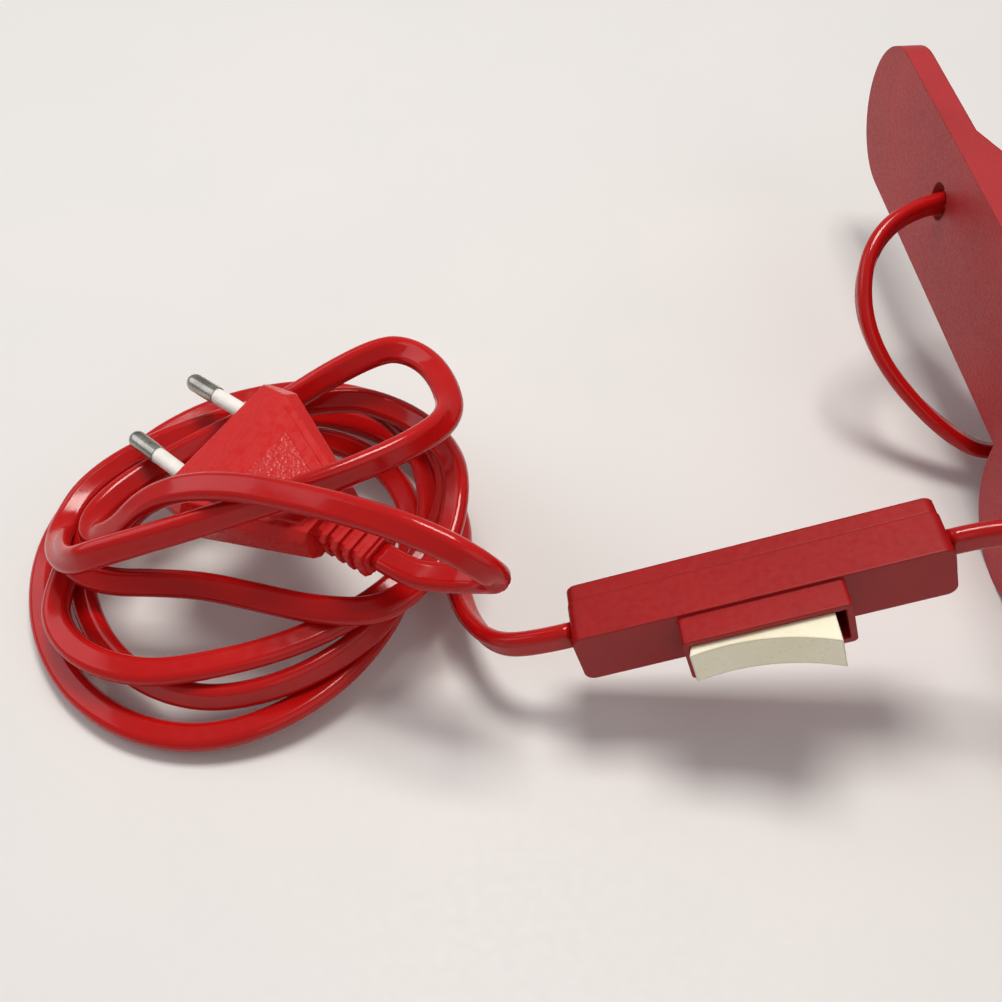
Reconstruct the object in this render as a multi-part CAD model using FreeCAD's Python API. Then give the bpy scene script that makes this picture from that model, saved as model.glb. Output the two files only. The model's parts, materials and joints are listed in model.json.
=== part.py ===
import FreeCAD, Part
import math
import os

# Clip-on heat lamp: a spring clamp of two moulded halves, a swan-neck stem that is also the clamp's
# pivot, a shaded lamp head with an infrared reflector bulb, and a flat two-core lead with an in-line
# rocker switch, a coil and a flat two-pin plug. Millimetres, +Z up. The lamp stands on its shade's
# rim and on the jaw bars' lower ends, and the origin is under the middle of the lamp itself.

V = FreeCAD.Vector
UP = V(0, 0, 1)

# ---- places -------------------------------------------------------------------------------
PIVOT_X = -68.0                # pivot axis of the clamp, in plan
PIVOT_Y = 9.5
HALF_ANGLE = 14.0              # half the angle between the closed clamp's two outer faces, degrees

# ---- clamp halves -------------------------------------------------------------------------
PIVOT_DEPTH = 22.0             # outer face to pivot axis
HANDLE_REACH = 98.0            # pivot axis to the handle's tip
HANDLE_WIDTH = 37.3
JAW_REACH = 58.0               # pivot axis to the front of the jaw bar
JAW_BAR = 38.0                 # jaw bar, front to back
JAW_SPAN = 84.0                # jaw bar, end to end
FACE_WALL = 3.0
RIM_DEPTH = 6.5
RIM_WALL = 2.6
CHEEK_START = 45.5             # where the cheeks begin to rise, from the pivot axis
CHEEK_SLOPE = 20.0             # degrees
CHEEK_WALL = 3.5
CHEEK_GAP = 0.45               # between the outer and the inner cheeks
BOSS_WALL = 4.0                # pivot boss round the stem
RIB_WALL = 2.0
JAW_SEAT_BACK = 24.0           # back edge of the jaw seat, from the pivot axis
JAW_WALL = 2.0
PAD_THICK = 3.0
PAD_INSET = 4.0
PAD_GROOVES = 5
JAW_GAP = 0.3                  # between the closed pads
CORD_HOLE_U = 40.0             # from the pivot axis
CORD_HOLE_W = 3.0              # above the clamp's middle
CORD_HOLE_D = 9.0
SEAT_RIBS = 6

# ---- stem ---------------------------------------------------------------------------------
STEM_R = 5.0
STEM_WALL = 1.0
STEM_BEND_R = 25.0
STEM_FOOT = 3.0                # below the lower cheek
STEM_LEVEL = 20.0              # straight after the bend
RUN_FIT = 0.06                 # radial clearance of the running fits
NUT_WALL = 2.5                 # across a flat, outside the stem
NUT_THICK = 3.5
COLLAR_WALL = 2.0
BUSH_LONG = 8.0
END_FIT = 0.3                  # gaps between parts that turn past each other

# ---- spring -------------------------------------------------------------------------------
WIRE_R = 1.1
SLEEVE_WALL = 1.0
SPRING_FIT = 0.4               # round the sleeve
LEG_LIFT = 0.25                # each leg leaves this far outside the middle of its turns

# ---- knuckle ------------------------------------------------------------------------------
SOCKET_WALL = 3.0
SOCKET_LONG = 12.0
YOKE_WALL = 3.5
YOKE_BASE = 5.0
EAR_WALL = 3.4
EAR_GAP = 0.25
LUG_THICK = 7.0
LUG_R = 7.5
AXIS_REACH = 15.0              # yoke's foot to the tilt axis
BOLT_R = 2.5
WING_SPAN = 26.0

# ---- lamp head, heights above the shade's rim ------------------------------------------------
HEAD_GAP = 8.0                 # between the moving clamp half and the shade
SHADE_R = 68.5
SHADE_WALL = 1.0
BEAD_R = 1.5
SHADE_TOP = 88.0
SHADE_NECK_R = 29.0
SHADE_SEAM = 58.0              # height of the seam between skirt and crown
SHADE_VENTS = 10
SHADE_VENT_R = 4.0
SHADE_VENT_AT = 42.5           # circle of the vents
SKIRT_R = 20.0                 # holder, below the shade's top
SKIRT_LONG = 10.0
SKIRT_FIT = 0.4
SHOULDER_R = 24.0              # holder, the step that sits on the shade
SHOULDER_THICK = 5.0
HOLDER_R = 21.5
HOLDER_LONG = 46.0             # holder, above the shade's top
HOLDER_FLOOR = 6.0
HOLDER_BORE_R = 14.8
HOLDER_SCREW_AT = 17.5         # from the lamp's axis
HOLDER_SCREW_R = 1.5
TERMINAL_AT = 10.5             # from the lamp's axis
SHELL_R = 14.5
SHELL_WALL = 0.4
SHELL_RISE = 9.0               # the screw shell's foot above the shade's top
SHELL_LONG = 27.0
CAP_R = 27.0
CAP_WALL = 2.4
CAP_FIT = 0.4
CAP_LONG = 62.0                # cap's top above the shade's top
CAP_RISE = 1.6
CAP_BEVEL = 6.0
RING_R = 27.5
RING_THICK = 6.0
RING_NOTCHES = 12
VENTS = 8
VENT_WIDTH = 4.0
VENT_HIGH = 16.0
TILT_RISE = 30.0               # stem's level end above the shade's top
BULB_R = 40.0
BULB_LONG = 86.0               # face to the foot of the screw cap
BULB_FACE_DEEP = 25.0          # face to the widest place
BULB_NECK_R = 13.4
BULB_NECK_LONG = 23.0
BULB_CAP_R = 13.2
BULB_CAP_RISE = 11.0           # screw cap's foot above the shade's top
BULB_CAP_LONG = 23.0
GLASS_WALL = 1.0

# ---- switch: long axis x, width y, thickness z, rocker face at +z ----------------------------
SWITCH_AT = (-153.3, -52.8, 32.0)
SWITCH_LONG_AXIS = (0.958, 0.019, 0.286)
SWITCH_FACE_AXIS = (0.003, -0.998, 0.057)
SWITCH_LONG = 72.0
SWITCH_WIDE = 13.0
SWITCH_THICK = 13.5
BASE_THICK = 3.8
SWITCH_WALL = 1.4
SEAM_STEP = 0.15               # the base stands back from the top shell by this all round
SWITCH_CORNER = 2.2
FRAME_LONG = 31.5
FRAME_EDGE = 0.8               # from the switch's side to the rocker's frame
FRAME_RISE = 6.0
FRAME_WALL = 1.3
ROCKER_FIT = 0.3
ROCKER_TURN = 9.0              # degrees, how far the rocker leans at rest

# ---- plug: pins along +x, width y, broad face +z -----------------------------------------------
PLUG_AT = (-259.2, -7.1, 31.8)
PLUG_PIN_AXIS = (-0.712, 0.701, -0.042)
PLUG_FACE_AXIS = (-0.2, -0.145, 0.969)
PLUG_WIDE = 35.3
PLUG_THICK = 13.7
PLUG_LONG = 35.0
PLUG_BEVEL = 9.0               # the upper and lower faces slope down to the pin face over this
PLUG_FACE_THICK = 7.0          # at the pin face
PLUG_TAIL_WIDE = 15.0
PLUG_TAIL_THICK = 9.5
RELIEF_LONG = 13.0
RELIEF_WIDE = 9.0
RELIEF_THICK = 6.5
PIN_LONG = 19.0
PIN_R = 2.0
SLEEVE_LONG = 10.0
SLEEVE_R = 1.75
PIN_CORE_R = 1.5
PIN_SPACING = 18.6
PIN_TOE = 1.3                  # degrees, each pin leans inward
PIN_ROOT = 16.0                # how deep the pins sit in the body
CRIMP_LONG = 6.0
CRIMP_R = 2.2

# ---- lead ---------------------------------------------------------------------------------
CORD_R = 3.0                   # half the width of the flat lead
CORD_FLAT = 3.6                # its thickness
FOOT_GAP = 0.2                 # lead's end below the stem's bush
SWITCH_RUN = 9.0               # straight out of each end of the switch

CLAMP_MID = JAW_SPAN / 2
BAR_MID = -JAW_REACH + JAW_BAR / 2
OUTER_CHEEK = HANDLE_WIDTH / 2
INNER_CHEEK = OUTER_CHEEK - CHEEK_WALL - CHEEK_GAP
BOSS_R = STEM_R + BOSS_WALL
SPRING_R = STEM_R + SLEEVE_WALL + SPRING_FIT + WIRE_R
SOCKET_R = STEM_R + SOCKET_WALL
YOKE_R = STEM_R + YOKE_WALL
STEM_LOW = CLAMP_MID - OUTER_CHEEK - STEM_FOOT
SPLIT = math.radians(2 * HALF_ANGLE)
OUT = V(math.cos(SPLIT), -math.sin(SPLIT), 0)      # from the pivot towards the lamp head
PIVOT = V(PIVOT_X, PIVOT_Y, 0)
HEAD_REACH = PIVOT_DEPTH + HEAD_GAP + BEAD_R + SHADE_R       # pivot axis to the lamp's axis
STEM_END = STEM_BEND_R + STEM_LEVEL
YOKE_FOOT = STEM_END + 1.0
TILT_AXIS = YOKE_FOOT + AXIS_REACH
TILT_HEIGHT = SHADE_TOP + TILT_RISE
MID_SLOPE = math.tan(math.radians(HALF_ANGLE))
HOLDER_LOW = SHADE_TOP - SKIRT_LONG
HOLDER_TOP = SHADE_TOP + HOLDER_LONG
SHELL_LOW = SHADE_TOP + SHELL_RISE
CAP_LOW = SHADE_TOP + CAP_RISE
CAP_TOP = SHADE_TOP + CAP_LONG
BULB_CAP_LOW = SHADE_TOP + BULB_CAP_RISE
BULB_CAP_HIGH = BULB_CAP_LOW + BULB_CAP_LONG
BULB_FACE = BULB_CAP_LOW - BULB_LONG
BULB_WIDEST = BULB_FACE + BULB_FACE_DEEP
BULB_NECK_LOW = BULB_CAP_LOW - BULB_NECK_LONG
FRAME_WIDE = SWITCH_WIDE - 2 * FRAME_EDGE

# Route of the lead from the stem's foot to the switch, and from the switch to the coil.
SWITCH_X = V(*SWITCH_LONG_AXIS).normalize()
SWITCH_END = V(*SWITCH_AT) + SWITCH_X * (SWITCH_LONG / 2)
SWITCH_START = V(*SWITCH_AT) - SWITCH_X * (SWITCH_LONG / 2)
LAMP_ROUTE = [
    (PIVOT_X, PIVOT_Y, STEM_LOW - FOOT_GAP),
    (-68.4, 9.0, 14.6),
    (-71.2, 6.4, 9.8),
    (-77.0, 2.6, 7.4),
    (-84.6, 0.9, 8.4),
    (-92.6, 4.6, 11.8),
    (-100.5, 11.0, 16.6),
    (-107.5, 18.4, 23.4),
    (-111.6, 26.4, 31.4),
    (-110.4, 35.0, 38.6),
    (-104.6, 42.7, 43.0),
    (-95.5, 47.6, 44.9),
    (-85.0, 49.6, 45.3),
    (-75.0, 51.6, 46.9),
    (-66.8, 52.2, 53.0),
    (-63.6, 47.8, 61.8),
    (-65.8, 39.0, 69.0),
    (-72.0, 26.0, 76.0),
    (-78.8, 8.0, 84.0),
    (-83.0, -14.0, 91.0),
    (-84.2, -36.0, 92.8),
    (-84.2, -53.0, 86.5),
    (-85.5, -62.5, 74.0),
    (-89.5, -64.0, 60.5),
    (-94.5, -60.5, 51.8),
    (-102.5, -55.0, 47.6),
    tuple(SWITCH_END + SWITCH_X * SWITCH_RUN),
    tuple(SWITCH_END),
]
COIL_ROUTE = [
    tuple(SWITCH_START),
    tuple(SWITCH_START - SWITCH_X * SWITCH_RUN),
    (-203.5, -50.0, 14.6),
    (-208.2, -41.5, 11.3),
    (-210.3, -31.5, 9.2),
    (-210.6, -22.5, 8.2),
]
COIL_OUTLINE = [(-207, -31), (-200, -16), (-202, 8), (-214, 28), (-236, 39), (-258, 39), (-283, 28),
                (-301, 6), (-308, -14), (-304, -36), (-290, -54), (-266, -66), (-240, -63), (-219, -49)]
COIL_HIGH = 44.0
NEST_GAP = 0.3                 # round the plug, where it lies in the coil
NEST_REACH = 90.0              # from the plug's face out past the coil: the pins' way stays open


# ---- helpers ------------------------------------------------------------------------------
def box(lo, hi):
    size = V(*hi) - V(*lo)
    return Part.makeBox(size.x, size.y, size.z, V(*lo))


def rod(radius, start, end):
    start = V(*start)
    run = V(*end) - start
    return Part.makeCylinder(radius, run.Length, start, run)


def pipe(outer, inner, start, end):
    return rod(outer, start, end).cut(rod(inner, start, end))


def prism(points, direction):
    corners = [V(*p) for p in points]
    return Part.Face(Part.makePolygon(corners + [corners[0]])).extrude(V(*direction))


def revolved(points):
    """Turn an outline of (radius, height) points about the Z axis."""
    corners = [V(r, 0, z) for r, z in points]
    return Part.Face(Part.makePolygon(corners + [corners[0]])).revolve(V(), UP, 360)


def framed(shape, at, x_axis, z_axis):
    """Carry a shape from its own frame to a place with the given x and z directions."""
    x_axis = V(*x_axis).normalize()
    y_axis = V(*z_axis).cross(x_axis).normalize()
    z_axis = x_axis.cross(y_axis)
    at = V(*at)
    shape = shape.copy()
    shape.Placement = FreeCAD.Placement(FreeCAD.Matrix(
        x_axis.x, y_axis.x, z_axis.x, at.x,
        x_axis.y, y_axis.y, z_axis.y, at.y,
        x_axis.z, y_axis.z, z_axis.z, at.z,
        0, 0, 0, 1)).multiply(shape.Placement)
    return shape


def together(shapes):
    return shapes[0].multiFuse(shapes[1:]).removeSplitter() if len(shapes) > 1 else shapes[0]


NODES = {}


def keep(name, shape):
    solids = shape.Solids
    volume = sum(solid.Volume for solid in solids)
    print(f"{name:28s} solids {len(solids)} volume {volume:10.1f} valid {shape.isValid()}")
    NODES[name] = shape


# ---- clamp --------------------------------------------------------------------------------
def depth(side, n):
    """Local x of a depth n below the outer face, on the -x half (side -1) or the +x half (+1)."""
    return side * (PIVOT_DEPTH - n)


def slab(side, n0, n1, inset):
    """The half's T outline, drawn in by inset, between two depths below the outer face."""
    x0, x1 = sorted((depth(side, n0), depth(side, n1)))
    tip_r = HANDLE_WIDTH / 2 - inset
    tip = HANDLE_REACH - HANDLE_WIDTH / 2
    lobe_r = JAW_BAR / 2 - inset
    lobe = JAW_SPAN / 2 - JAW_BAR / 2
    parts = [box((x0, BAR_MID, -tip_r), (x1, tip, tip_r)),
             rod(tip_r, (x0, tip, 0), (x1, tip, 0)),
             box((x0, BAR_MID - lobe_r, -lobe), (x1, BAR_MID + lobe_r, lobe))]
    for w in (-lobe, lobe):
        parts.append(rod(lobe_r, (x0, BAR_MID, w), (x1, BAR_MID, w)))
    return together(parts)


def mid_depth(u):
    """Depth of the clamp's middle plane below the outer face, at u from the pivot axis."""
    return PIVOT_DEPTH + u * MID_SLOPE


def seat_depth(u):
    return mid_depth(u) - (PAD_THICK + JAW_GAP / 2) / math.cos(math.radians(HALF_ANGLE))


def layer(side, under, over):
    """A slab of space along the jaw seat, between two heights measured square to the seat."""
    square = math.cos(math.radians(HALF_ANGLE))
    back, front = -JAW_SEAT_BACK, -JAW_REACH
    outline = [(back, seat_depth(back) + under / square), (back, seat_depth(back) + over / square),
               (front, seat_depth(front) + over / square), (front, seat_depth(front) + under / square)]
    return prism([(depth(side, n), u, -JAW_SPAN) for u, n in outline], (0, 0, 2 * JAW_SPAN))


def jaw_seat(side):
    """The sloping seat behind the pad, carried on ribs."""
    space = slab(side, FACE_WALL - 0.5, PIVOT_DEPTH, RIM_WALL - 0.5)
    plate = layer(side, -JAW_WALL, 0).common(space)
    wedge = layer(side, -PIVOT_DEPTH, -JAW_WALL + 0.2).common(space)
    ribs = []
    for k in range(SEAT_RIBS):
        w = (k - (SEAT_RIBS - 1) / 2) * JAW_SPAN / (SEAT_RIBS + 1)
        ribs.append(wedge.common(box((-40, -JAW_REACH, w - RIB_WALL / 2), (40, 0, w + RIB_WALL / 2))))
    return [plate] + ribs


def cheek(side, outer):
    """One side wall with its pivot boss, from outer - CHEEK_WALL to outer, above the middle."""
    slope = math.tan(math.radians(CHEEK_SLOPE))
    shoulder = BOSS_R - 0.9
    outline = [(CHEEK_START, 0), (CHEEK_START, RIM_DEPTH),
               (shoulder, RIM_DEPTH + (CHEEK_START - shoulder) * slope),
               (-shoulder, PIVOT_DEPTH - 2), (-JAW_SEAT_BACK, RIM_DEPTH), (-JAW_SEAT_BACK, 0)]
    wall = prism([(depth(side, n), u, outer - CHEEK_WALL) for u, n in outline], (0, 0, CHEEK_WALL))
    return together([wall, rod(BOSS_R, (0, 0, outer - CHEEK_WALL), (0, 0, outer))])


def clamp_half(side, outer, bore):
    tray = slab(side, 0, RIM_DEPTH, 0).cut(slab(side, FACE_WALL, RIM_DEPTH + 1, RIM_WALL))
    upper = cheek(side, outer)
    lower = upper.mirror(V(), UP)
    body = together([tray, upper, lower] + jaw_seat(side))
    return body.cut(rod(bore, (0, 0, -JAW_SPAN), (0, 0, JAW_SPAN)))


def jaw_pad(side):
    pad = layer(side, 0, PAD_THICK).common(slab(side, 0, PIVOT_DEPTH, PAD_INSET))
    groove = 1.2
    first, last = -JAW_REACH + 10, -JAW_SEAT_BACK - 5
    for k in range(PAD_GROOVES):
        u = first + (last - first) * k / (PAD_GROOVES - 1)
        top = depth(side, mid_depth(u) - JAW_GAP / 2)
        pad = pad.cut(rod(groove, (top, u, -JAW_SPAN), (top, u, JAW_SPAN)))
    return pad


def spring_part(side, w0, w1, leg_w):
    """One end of the torsion spring: its turns round the sleeve and a leg along the handle."""
    coil = pipe(SPRING_R + WIRE_R, SPRING_R - WIRE_R, (0, 0, w0), (0, 0, w1))
    end = V(depth(side, FACE_WALL + WIRE_R + 0.05), CHEEK_START - 4, 0)
    leave = SPRING_R + LEG_LIFT
    angle = math.atan2(end.y, end.x) - side * math.acos(leave / end.Length)
    start = V(math.cos(angle), math.sin(angle), 0) * leave
    lift = V(0, 0, leg_w)
    leg = rod(WIRE_R, start + lift, end + lift)
    return together([coil, leg])


def on_root(shape):
    shape = shape.copy()
    shape.translate(PIVOT + UP * CLAMP_MID)
    return shape


def on_moving(shape):
    shape = shape.copy()
    shape.rotate(V(), UP, -2 * HALF_ANGLE)
    return on_root(shape)


def make_clamp():
    hole_z = CORD_HOLE_W
    cord_hole = rod(CORD_HOLE_D / 2, (-40, CORD_HOLE_U, hole_z), (0, CORD_HOLE_U, hole_z))
    keep("clamp_half_fixed", on_root(clamp_half(-1, OUTER_CHEEK, STEM_R + RUN_FIT).cut(cord_hole)))
    keep("clamp_half_moving", on_moving(clamp_half(1, INNER_CHEEK, STEM_R)))
    keep("jaw_pad_fixed", on_root(jaw_pad(-1)))
    keep("jaw_pad_moving", on_moving(jaw_pad(1)))
    reach = INNER_CHEEK - CHEEK_WALL - 0.4
    half_gap = 0.2
    leg_w = reach - WIRE_R - LEG_LIFT
    keep("spring_fixed_end", on_root(spring_part(-1, -reach, -half_gap, -leg_w)))
    keep("spring_moving_end", on_moving(spring_part(1, half_gap, reach, leg_w)))
    keep("spring_sleeve", on_moving(pipe(STEM_R + SLEEVE_WALL, STEM_R, (0, 0, -reach), (0, 0, reach))))


# ---- stem ---------------------------------------------------------------------------------
def stem_path():
    """From the foot straight up, round the bend and level to the end."""
    foot = PIVOT + UP * STEM_LOW
    bend = PIVOT + UP * (TILT_HEIGHT - STEM_BEND_R)
    level = PIVOT + UP * TILT_HEIGHT + OUT * STEM_BEND_R
    centre = bend + OUT * STEM_BEND_R
    middle = centre + (UP - OUT).normalize() * STEM_BEND_R
    end = PIVOT + UP * TILT_HEIGHT + OUT * STEM_END
    return [Part.LineSegment(foot, bend).toShape(), Part.Arc(bend, middle, level).toShape(),
            Part.LineSegment(level, end).toShape()]


def hexagon(flats, low, high):
    corners = []
    for k in range(6):
        a = math.radians(60 * k)
        corners.append((flats / math.sqrt(3) * math.cos(a), flats / math.sqrt(3) * math.sin(a), low))
    return prism(corners, (0, 0, high - low))


def make_stem():
    path = Part.Wire(stem_path())
    foot = PIVOT + UP * STEM_LOW
    outer = Part.Wire(Part.makeCircle(STEM_R, foot, UP))
    inner = Part.Wire(Part.makeCircle(STEM_R - STEM_WALL, foot, UP))
    tube = path.makePipeShell([outer], True, True).cut(path.makePipeShell([inner], True, True))
    keep("stem_tube", tube)
    low_face = CLAMP_MID + OUTER_CHEEK + END_FIT
    nut = hexagon(2 * (STEM_R + NUT_WALL), low_face, low_face + NUT_THICK)
    nut = nut.cut(rod(STEM_R, (0, 0, 0), (0, 0, TILT_HEIGHT)))
    nut.translate(PIVOT)
    keep("stem_nut", nut)
    collar = pipe(STEM_R + COLLAR_WALL, STEM_R, (0, 0, STEM_LOW), (0, 0, STEM_LOW + STEM_FOOT - END_FIT))
    collar.translate(PIVOT)
    keep("stem_collar", collar)
    bush = pipe(STEM_R - STEM_WALL, CORD_R, (0, 0, STEM_LOW), (0, 0, STEM_LOW + BUSH_LONG))
    bush.translate(PIVOT)
    keep("stem_cord_bush", bush)


# ---- knuckle: along x from the stem's end, y across, z up ------------------------------------
def on_stem_end(shape):
    return framed(shape, PIVOT + UP * TILT_HEIGHT, OUT, UP)


def make_knuckle():
    wire_r = STEM_R - STEM_WALL
    socket = pipe(SOCKET_R, STEM_R, (STEM_END - SOCKET_LONG, 0, 0), (STEM_END + 0.4, 0, 0))
    keep("swivel_socket", on_stem_end(socket))
    ear_in = LUG_THICK / 2 + EAR_GAP
    ear_out = ear_in + EAR_WALL
    base = rod(YOKE_R, (YOKE_FOOT, 0, 0), (YOKE_FOOT + YOKE_BASE, 0, 0))
    base = base.cut(rod(wire_r, (YOKE_FOOT - 1, 0, 0), (YOKE_FOOT + YOKE_BASE + 1, 0, 0)))
    base = base.common(box((0, -ear_out, -YOKE_R), (200, ear_out, YOKE_R)))
    ears = []
    for y0, y1 in ((ear_in, ear_out), (-ear_out, -ear_in)):
        ears.append(box((YOKE_FOOT, y0, -5), (TILT_AXIS, y1, 5)))
        ears.append(rod(LUG_R, (TILT_AXIS, y0, 0), (TILT_AXIS, y1, 0)))
    yoke = together([base.cut(box((YOKE_FOOT + YOKE_BASE - 2, -ear_in, -20), (200, ear_in, 20)))] + ears)
    yoke = yoke.cut(rod(BOLT_R, (TILT_AXIS, -20, 0), (TILT_AXIS, 20, 0)))
    yoke = yoke.cut(rod(wire_r, (YOKE_FOOT - 1, 0, 0), (YOKE_FOOT + YOKE_BASE + 1, 0, 0)))
    keep("swivel_yoke", on_stem_end(yoke))
    head = rod(4.5, (TILT_AXIS, -ear_out - 3.2, 0), (TILT_AXIS, -ear_out, 0))
    shank = rod(BOLT_R, (TILT_AXIS, -ear_out, 0), (TILT_AXIS, ear_out + 8, 0))
    keep("tilt_bolt", on_stem_end(together([head, shank])))
    washer = pipe(6.0, BOLT_R, (TILT_AXIS, ear_out, 0), (TILT_AXIS, ear_out + 1, 0))
    keep("tilt_washer", on_stem_end(washer))
    hub = rod(5.0, (TILT_AXIS, ear_out + 1, 0), (TILT_AXIS, ear_out + 6.5, 0))
    wings = []
    for sign in (-1, 1):
        z0, z1 = sorted((sign * 2, sign * WING_SPAN / 2))
        wings.append(box((TILT_AXIS - 1.2, ear_out + 2.5, z0), (TILT_AXIS + 1.2, ear_out + 8.5, z1)))
        wings.append(rod(4.0, (TILT_AXIS - 1.2, ear_out + 8.0, sign * (WING_SPAN / 2 - 3)),
                         (TILT_AXIS + 1.2, ear_out + 8.0, sign * (WING_SPAN / 2 - 3))))
    nut = together([hub] + wings).cut(rod(BOLT_R, (TILT_AXIS, 0, 0), (TILT_AXIS, 40, 0)))
    keep("wing_nut", on_stem_end(nut))


# ---- lamp head: z up from the rim plane, x away from the clamp --------------------------------
def on_head(shape):
    return framed(shape, PIVOT + OUT * HEAD_REACH, OUT, UP)


def shade_curve(wall):
    """Three points of the dome's profile, from the rim to the neck, drawn in by wall."""
    low = V(SHADE_R - wall, 0, BEAD_R)
    mid = V(SHADE_R * 0.86 - wall, 0, SHADE_TOP * 0.56)
    high = V(SHADE_NECK_R - wall, 0, SHADE_TOP - wall if wall else SHADE_TOP)
    return low, mid, high


def make_shade():
    """A spun skirt with a rolled rim, and a pierced crown that sits on it."""
    out_low, out_mid, out_high = shade_curve(0)
    in_low, in_mid, in_high = shade_curve(SHADE_WALL)
    in_high.z = SHADE_TOP - SHADE_WALL
    bore_low = V(SKIRT_R + SKIRT_FIT, 0, in_high.z)
    bore_high = V(SKIRT_R + SKIRT_FIT, 0, SHADE_TOP)
    edges = [Part.Arc(out_low, out_mid, out_high).toShape(),
             Part.makeLine(out_high, bore_high), Part.makeLine(bore_high, bore_low),
             Part.makeLine(bore_low, in_high), Part.Arc(in_high, in_mid, in_low).toShape(),
             Part.makeLine(in_low, out_low)]
    dome = Part.Face(Part.Wire(edges)).revolve(V(), UP, 360)
    wide = 2 * SHADE_R
    skirt = dome.common(box((-wide, -wide, -1), (wide, wide, SHADE_SEAM)))
    bead = Part.makeTorus(SHADE_R, BEAD_R, V(0, 0, BEAD_R), UP)
    keep("shade", on_head(together([skirt, bead])))
    crown = dome.common(box((-wide, -wide, SHADE_SEAM), (wide, wide, SHADE_TOP + 1)))
    for k in range(SHADE_VENTS):
        a = 2 * math.pi * (k + 0.5) / SHADE_VENTS
        at = V(math.cos(a), math.sin(a), 0) * SHADE_VENT_AT
        crown = crown.cut(Part.makeCylinder(SHADE_VENT_R, SHADE_TOP - SHADE_SEAM, at + UP * SHADE_SEAM, UP))
    keep("shade_crown", on_head(crown))


def make_holder():
    shoulder = SHADE_TOP + SHOULDER_THICK
    floor = HOLDER_TOP - HOLDER_FLOOR
    body = revolved([(HOLDER_BORE_R, HOLDER_LOW), (SKIRT_R, HOLDER_LOW), (SKIRT_R, SHADE_TOP),
                     (SHOULDER_R, SHADE_TOP), (SHOULDER_R, shoulder), (HOLDER_R, shoulder),
                     (HOLDER_R, HOLDER_TOP), (0, HOLDER_TOP), (0, floor), (HOLDER_BORE_R, floor)])
    for y in (-HOLDER_SCREW_AT, HOLDER_SCREW_AT):
        body = body.cut(rod(HOLDER_SCREW_R, (0, y, HOLDER_TOP - 20), (0, y, HOLDER_TOP)))
    stud_r = 1.2
    for x in (-TERMINAL_AT, TERMINAL_AT):
        body = body.cut(rod(stud_r, (x, 0, floor), (x, 0, HOLDER_TOP)))
    keep("porcelain_holder", on_head(body))
    shell = pipe(SHELL_R, SHELL_R - SHELL_WALL, (0, 0, SHELL_LOW), (0, 0, SHELL_LOW + SHELL_LONG))
    keep("holder_screw_shell", on_head(shell))
    strip = 0.8
    contact = together([box((-8, -3, floor - strip), (8, 3, floor)),
                        rod(2.5, (0, 0, floor - 3), (0, 0, floor - strip / 2))])
    keep("holder_centre_contact", on_head(contact))
    terminals, screws = [], []
    for x in (-TERMINAL_AT, TERMINAL_AT):
        block = box((x - 3.5, -4, HOLDER_TOP), (x + 3.5, 4, HOLDER_TOP + 6))
        stud = rod(stud_r, (x, 0, floor), (x, 0, HOLDER_TOP + 0.5))
        screw = together([rod(1.4, (x, 0, HOLDER_TOP + 3), (x, 0, HOLDER_TOP + 7)),
                          rod(2.6, (x, 0, HOLDER_TOP + 6), (x, 0, HOLDER_TOP + 8))])
        terminals.append(together([block, stud]).cut(screw))
        screws.append(screw)
    keep("holder_terminals", on_head(Part.makeCompound(terminals)))
    keep("holder_terminal_screws", on_head(Part.makeCompound(screws)))


def make_ring():
    """The knurled ring that clamps the shade against the holder's step."""
    top = SHADE_TOP - SHADE_WALL
    notch_r = 2.0
    ring = pipe(RING_R, SKIRT_R, (0, 0, top - RING_THICK), (0, 0, top))
    for k in range(RING_NOTCHES):
        a = 2 * math.pi * k / RING_NOTCHES
        at = V(math.cos(a), math.sin(a), 0) * (RING_R + 0.4 * notch_r)
        ring = ring.cut(Part.makeCylinder(notch_r, RING_THICK + 2, at + UP * (top - RING_THICK - 1), UP))
    bevel = 5.0
    ring = ring.cut(revolved([(RING_R - bevel, top + 1), (RING_R + bevel, top + 1),
                              (RING_R + bevel, top - bevel)]))
    keep("shade_ring", on_head(ring))


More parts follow.
